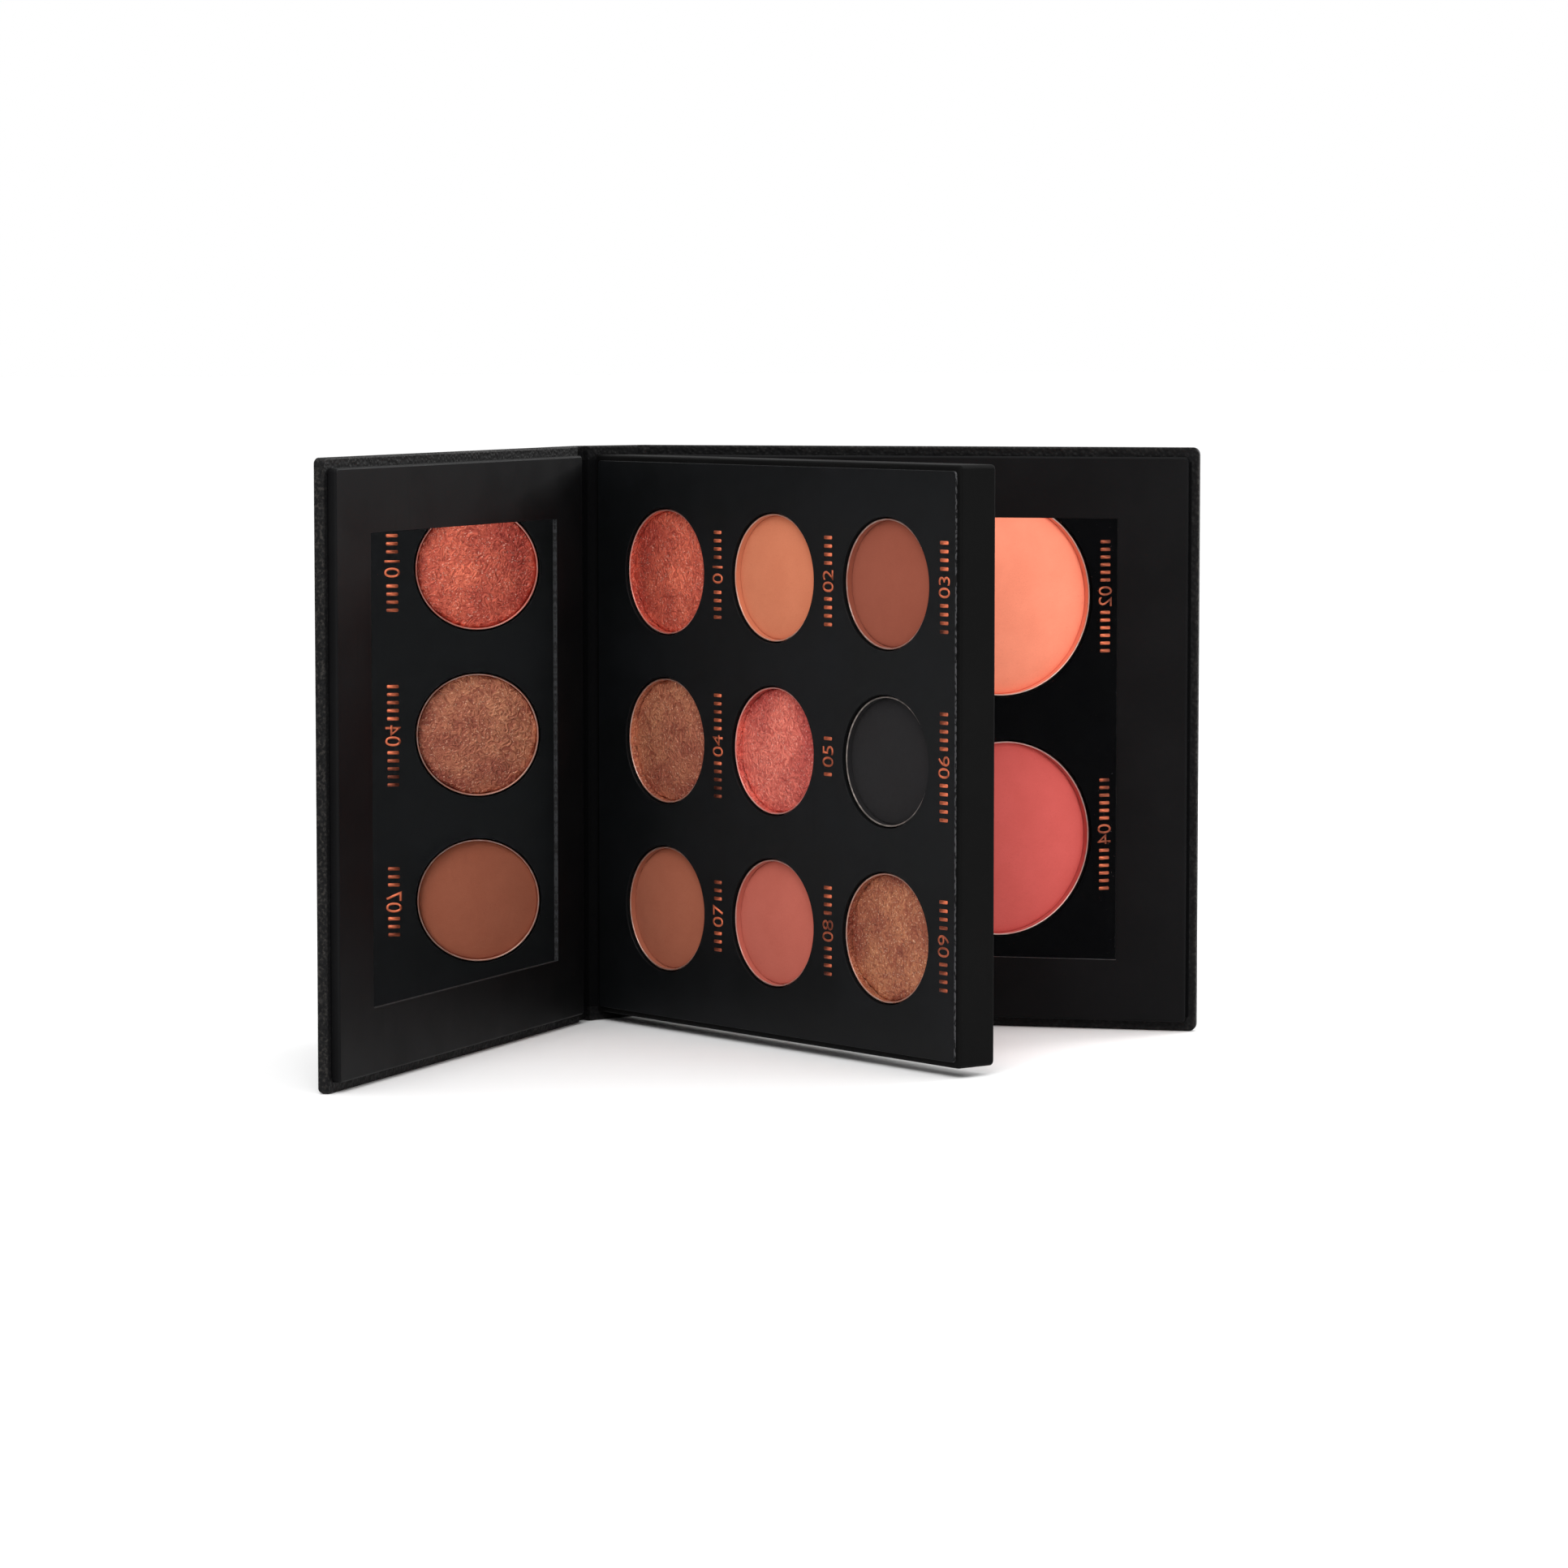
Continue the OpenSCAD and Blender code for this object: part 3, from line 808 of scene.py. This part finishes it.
def make_tray_card(side):
    """A punched face card with a fleecy cut edge and slightly eased corners."""
    (x0, base, z0), (x1, top, z1) = side.tray_box(f"{side.name}_tray_card")
    shoulder = top - CARD_BEVEL

    def outer(inset):
        return rectangle(x0 + inset, x1 - inset, z0 + inset, z1 - inset, CARD_CORNER_R)

    card = Solid(side.on_tray)
    card.stack([(outer(0), base), (outer(0), shoulder)], kind=1)
    card.stack([(outer(0), shoulder), (outer(CARD_BEVEL), top)])
    card.cap(outer(CARD_BEVEL), well_loops(side, CARD_BEVEL), top)
    card.cap(outer(0), well_loops(side), base)
    for wide, tight in zip(well_loops(side, CARD_BEVEL), well_loops(side)):
        card.stack([(wide, top), (tight, shoulder), (tight, base)])
    piece = card.piece(f"{side.name}_face_card", [CARD if side is FRONT else SHADED_BACK_CARD, CARD_EDGE])
    keep_flats_flat(piece)
    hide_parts(f"{side.name}_tray_card")
    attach(piece, "tray")


# --- pans and powders -------------------------------------------------------------------------

PAN_FOOT_R = 0.6 * MM       # how round a pan's foot is
LIP_STEPS = 10
POWDER_EDGE_R = 0.22 * MM
POWDER_DOME = 0.05          # how much higher a cake is in the middle, as a share of its radius
POWDER_WEAR = 0.2 * MM      # how far a cake has sunk below the CAD's
SHIMMER_RELIEF = 0.09 * MM  # how uneven a cake's top is
MATTE_RELIEF = 0.03 * MM
SHIMMER_CHIPS = 0.8 * MM    # how far in a cake's edge is chipped
MATTE_CHIPS = 0.2 * MM
BROAD_RELIEF = 1.4 * MM     # size of the bumps on a cake's top
FINE_RELIEF = 0.55 * MM
BROAD_CHIPS = 3             # how often a cake's edge swings in and out round its pan
FINE_CHIPS = 14
RING_STEP = 0.3 * MM
RING_POINTS = 144


def make_pan(side, family, number, tin, powder):
    """A drawn tin cup with a rounded foot and a rolled rim. Its inner wall is in the powder's own
    material: caked powder and a painted reflection of the powder.
    """
    node, cake = f"{family}_pan_{number}", f"{family}_{number}"
    x, z, r = disc_of(node)
    (_, floor, _), (_, rim, _) = side.tray_box(node)
    inner_floor = side.tray_box(cake)[0][1]
    wall = r - disc_of(cake)[2]
    lip = wall / 2
    foot = r - PAN_FOOT_R
    profile = [(foot + PAN_FOOT_R * sine, floor + PAN_FOOT_R * drop) for sine, drop in quarter(5)]
    turns = [i / LIP_STEPS * math.pi for i in range(LIP_STEPS + 1)]
    profile += [(r - lip + lip * math.cos(a), rim - lip + lip * math.sin(a)) for a in turns]
    profile.append((r - wall, inner_floor))
    pan = Solid(side.on_tray)
    rings = [pan.loop(circle(x, z, radius), height) for radius, height in profile]
    for first, second in zip(rings, rings[1:]):
        # inner wall in the powder's material: caked powder, and a painted reflection of the powder in the
        # tin
        pan.band(first, second, kind=1 if second is rings[-1] else 0)
    pan.tip(rings[0], x, floor, z)
    pan.tip(rings[-1], x, inner_floor, z)
    piece = pan.piece(f"tin_{node}", [tin, powder])
    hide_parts(node)
    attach(piece, "tray")


def relief_at(x, z, seed):
    """Unevenness of a pressed cake, from about -1 to 1, at two sizes."""
    broad = noise.noise(Vector((x / BROAD_RELIEF, seed, z / BROAD_RELIEF)))
    fine = noise.noise(Vector((x / FINE_RELIEF, seed + 50, z / FINE_RELIEF)))
    return 0.6 * broad + 0.4 * fine


def chipping(dx, dz, seed, deepest):
    """How far a cake's edge has crumbled away in one direction from its middle."""
    broad = noise.noise(Vector((dx * BROAD_CHIPS, seed, dz * BROAD_CHIPS)))
    fine = noise.noise(Vector((dx * FINE_CHIPS, seed, dz * FINE_CHIPS)))
    return POWDER_EDGE_R + deepest * min(1.0, max(0.0, 0.3 + broad + 0.9 * fine))


def make_powder(side, family, number, material, relief, deepest):
    """A pressed cake: a slightly domed top with its own faint relief, and a rounded edge that
    is chipped up to deepest metres in."""
    node = f"{family}_{number}"
    x, z, r = disc_of(node)
    (_, floor, _), (_, top, _) = side.tray_box(node)
    top -= relief + POWDER_WEAR
    dome = POWDER_DOME * r
    seed = 7 * side.sign
    count = round(r / RING_STEP)
    cake = Solid(side.on_tray)
    directions = circle(0, 0, 1, RING_POINTS)
    chips = [chipping(dx, dz, 9 * number, deepest) for dx, dz in directions]

    def ring(share, sine, drop, rough):
        """share goes from the middle to the chipped edge, sine and drop go over that edge."""
        start = len(cake.points)
        for (dx, dz), chip in zip(directions, chips):
            radius = (r - chip) * share + chip * sine
            px, pz = x + radius * dx, z + radius * dz
            height = top - dome * share ** 2 - chip * drop
            cake.points.append(side.on_tray(px, height + rough * relief_at(px, pz, seed), pz))
        return range(start, len(cake.points))

    rings = [ring(i / count, 0.0, 0.0, relief) for i in range(1, count + 1)]
    rings += [ring(1.0, sine, drop, relief * (1 - sine)) for sine, drop in quarter(4)[1:]]
    rings.append(cake.loop(circle(x, z, r, RING_POINTS), floor))
    for first, second in zip(rings, rings[1:]):
        cake.band(first, second)
    cake.tip(rings[0], x, top + relief * relief_at(x, z, seed), z)
    cake.tip(rings[-1], x, floor, z)
    piece = cake.piece(f"pressed_{node}", [material])
    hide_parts(node)
    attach(piece, "tray")


def make_cosmetics(side, family, powders, contrast, dust):
    """All the pans and powders on one side of the tray. contrast is how strongly the shimmers are
    mottled, and dust how thick the tin's film is: powder dust and a painted reflection of the powder."""
    for number, (slot, colour, painted_glint) in enumerate(powders, 1):
        name = f"{slot}_powder"
        if painted_glint:
            powder = shimmer_powder(name, colour, painted_glint, contrast)
            relief, deepest = SHIMMER_RELIEF, SHIMMER_CHIPS
        else:
            powder = matte_powder(name, colour)
            relief, deepest = MATTE_RELIEF, MATTE_CHIPS
        make_pan(side, family, number, tin_with_dust_and_painted_reflection(f"{slot}_tin", colour, dust), powder)
        make_powder(side, family, number, powder, relief, deepest)


# --- labels -----------------------------------------------------------------------------------

LABEL_H = 3.3 * MM
FOIL_T = 0.02 * MM
TICK_W = 0.7 * MM
TICK_H = 2.5 * MM
TICK_PITCH = 1.7 * MM
NUMERAL_ROOM = 3.6 * MM     # from a label's middle to its first tick
SMALL_LABEL_GAP = 17.9 * MM    # from a small pan's centre to its label's middle
LARGE_LABEL_GAP = 25.0 * MM
SMALL_LABEL_LENGTHS = [length * MM for length in (19, 20.5, 19, 23.5, 10.5, 23, 16, 20, 20.5)]
LARGE_LABEL_LENGTHS = [24.5 * MM] * 4


def numeral_shape(text):
    """Points (right, up) and faces of a numeral, centred, with a height of 1."""
    curve = bpy.data.curves.new("numeral", "FONT")
    curve.body = text
    carrier = bpy.data.objects.new("numeral", curve)
    mesh = bpy.data.meshes.new_from_object(carrier)
    points = np.array([v.co for v in mesh.vertices], float)[:, :2]
    faces = [tuple(p.vertices) for p in mesh.polygons]
    bpy.data.objects.remove(carrier)
    bpy.data.curves.remove(curve)
    bpy.data.meshes.remove(mesh)
    low, high = points.min(0), points.max(0)
    return (points - (low + high) / 2) / (high - low)[1], faces


def label_shapes(number, length):
    """The flat shapes of a label: its numeral, and a row of ticks on either side."""
    points, faces = numeral_shape(f"{number:02d}")
    shapes = [(points * LABEL_H, faces)]
    for i in range(int((length / 2 - NUMERAL_ROOM) / TICK_PITCH) + 1):
        reach = NUMERAL_ROOM + i * TICK_PITCH
        for u in (-reach, reach):
            tick = rectangle(u - TICK_W / 2, u + TICK_W / 2, -TICK_H / 2, TICK_H / 2, TICK_W / 3, steps=3)
            shapes.append((tick, [range(len(tick))]))
    return shapes


def make_label(side, number, x, z, length):
    """A foil label that reads up the front, or down the back, with its top to the spine."""
    height = side.tray_box(f"{side.name}_tray_card")[1][1] + FOIL_T
    label = Solid(side.on_tray)
    for points, faces in label_shapes(number, length):
        start = len(label.points)
        label.loop([(x - v, z + side.sign * u) for u, v in points], height)
        for face in faces:
            label.face(*(start + i for i in face))
    piece = label.piece(f"{side.name}_label_{number}", [FOIL])
    foil = piece.modifiers.new("foil", "SOLIDIFY")
    foil.thickness = FOIL_T
    foil.offset = 0
    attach(piece, "tray")


def make_labels(side, family, gap, lengths):
    for number, length in enumerate(lengths, 1):
        x, z, _ = disc_of(f"{family}_pan_{number}")
        make_label(side, number, x + gap, z, length)


# --- CAD nodes that show as they are ------------------------------------------------------------


def paint(node, material):
    materials = frame["nodes"][node].data.materials
    materials.clear()
    materials.append(material)


def paint_inner_nodes():
    for side in SIDES:
        paint(f"{side.name}_cover_board", BOARD)
        paint(f"{side.name}_cover_magnets", MAGNET)
        paint(f"{side.name}_mirror", MIRROR)
        paint(f"{side.name}_mirror_tape", TAPE)
        paint(f"{side.name}_tray_core", DARK_BOARD)
    paint("spine_board", BOARD)
    paint("tray_divider", DARK_BOARD)
    paint("tray_magnets", MAGNET)
    paint("eyeshadow_glue", GLUE)
    paint("face_powder_glue", GLUE)


# --- studio -----------------------------------------------------------------------------------

FLOOR_HALF = 15.0
FLOOR_GAP = 0.05 * MM
SUBJECT = Vector((0.05, 0.0, 0.06))    # what the lights are aimed at
HORIZON_LIGHT = 0.2
OVERHEAD_LIGHT = 1.5
OVERHEAD_FROM = 0.8         # how steeply up, as a sine, the overhead brightness starts


def make_floor():
    z = cad_low.z - FLOOR_GAP
    corners = [(x, y, z) for x, y in ((-1, -1), (1, -1), (1, 1), (-1, 1))]
    mesh = bpy.data.meshes.new("floor")
    mesh.from_pydata([(x * FLOOR_HALF, y * FLOOR_HALF, z) for x, y, z in corners], [], [(0, 1, 2, 3)])
    s = Shader("floor", Roughness=0.9, Specular_IOR_Level=0.1)
    s.set(Base_Color=s.mix(s.noise(0.4), rgb(238, 238, 238), rgb(242, 242, 242)))
    mesh.materials.append(s.material)
    floor = bpy.data.objects.new("floor", mesh)
    bpy.context.scene.collection.objects.link(floor)


def make_light(name, left, up, distance, size, power):
    """A square area light aimed at the palette. left and up are in degrees, from the camera's
    own line of sight."""
    azimuth = math.radians(CAMERA_AZIMUTH - left)
    rise = math.radians(up)
    back = Vector((math.sin(azimuth) * math.cos(rise), -math.cos(azimuth) * math.cos(rise), math.sin(rise)))
    data = bpy.data.lights.new(name, "AREA")
    data.size = size
    data.energy = power
    light = bpy.data.objects.new(name, data)
    light.location = SUBJECT + distance * back
    light.rotation_euler = back.to_track_quat("Z", "Y").to_euler()
    bpy.context.scene.collection.objects.link(light)


def make_world():
    """White to the camera. The light that it gives is dim at the horizon and bright overhead."""
    world = bpy.data.worlds.new("studio")
    world.use_nodes = True
    tree = world.node_tree
    background = tree.nodes["Background"]
    background.inputs["Color"].default_value = (1, 1, 1, 1)
    path = tree.nodes.new("ShaderNodeLightPath")
    place = tree.nodes.new("ShaderNodeTexCoord")
    split = tree.nodes.new("ShaderNodeSeparateXYZ")
    height = tree.nodes.new("ShaderNodeMapRange")
    strength = tree.nodes.new("ShaderNodeMix")
    tree.links.new(place.outputs["Generated"], split.inputs[0])
    tree.links.new(split.outputs["Z"], height.inputs["Value"])
    height.inputs["From Max"].default_value = OVERHEAD_FROM
    height.inputs["To Min"].default_value = HORIZON_LIGHT
    height.inputs["To Max"].default_value = OVERHEAD_LIGHT
    tree.links.new(path.outputs["Is Camera Ray"], strength.inputs[0])
    tree.links.new(height.outputs[0], strength.inputs[2])
    strength.inputs[3].default_value = 1.0
    tree.links.new(strength.outputs[0], background.inputs["Strength"])
    bpy.context.scene.world = world


def make_studio():
    bpy.context.scene.view_settings.view_transform = "Standard"
    make_world()
    make_floor()
    make_light("key", left=8, up=40, distance=1.4, size=0.7, power=9.0)
    make_light("side", left=-124, up=24, distance=1.1, size=0.35, power=5.2)


# --- build ------------------------------------------------------------------------------------

for each in SIDES:
    make_case_half(each)
    make_mirror_panel(each)
    make_tray_card(each)
make_tray_wrap()
make_cosmetics(FRONT, "eyeshadow", EYESHADOWS, contrast=1.0, dust=0.8)
make_cosmetics(BACK, "face_powder", FACE_POWDERS, contrast=0.4, dust=0.5)
make_labels(FRONT, "eyeshadow", SMALL_LABEL_GAP, SMALL_LABEL_LENGTHS)
make_labels(BACK, "face_powder", LARGE_LABEL_GAP, LARGE_LABEL_LENGTHS)
paint_inner_nodes()
make_studio()
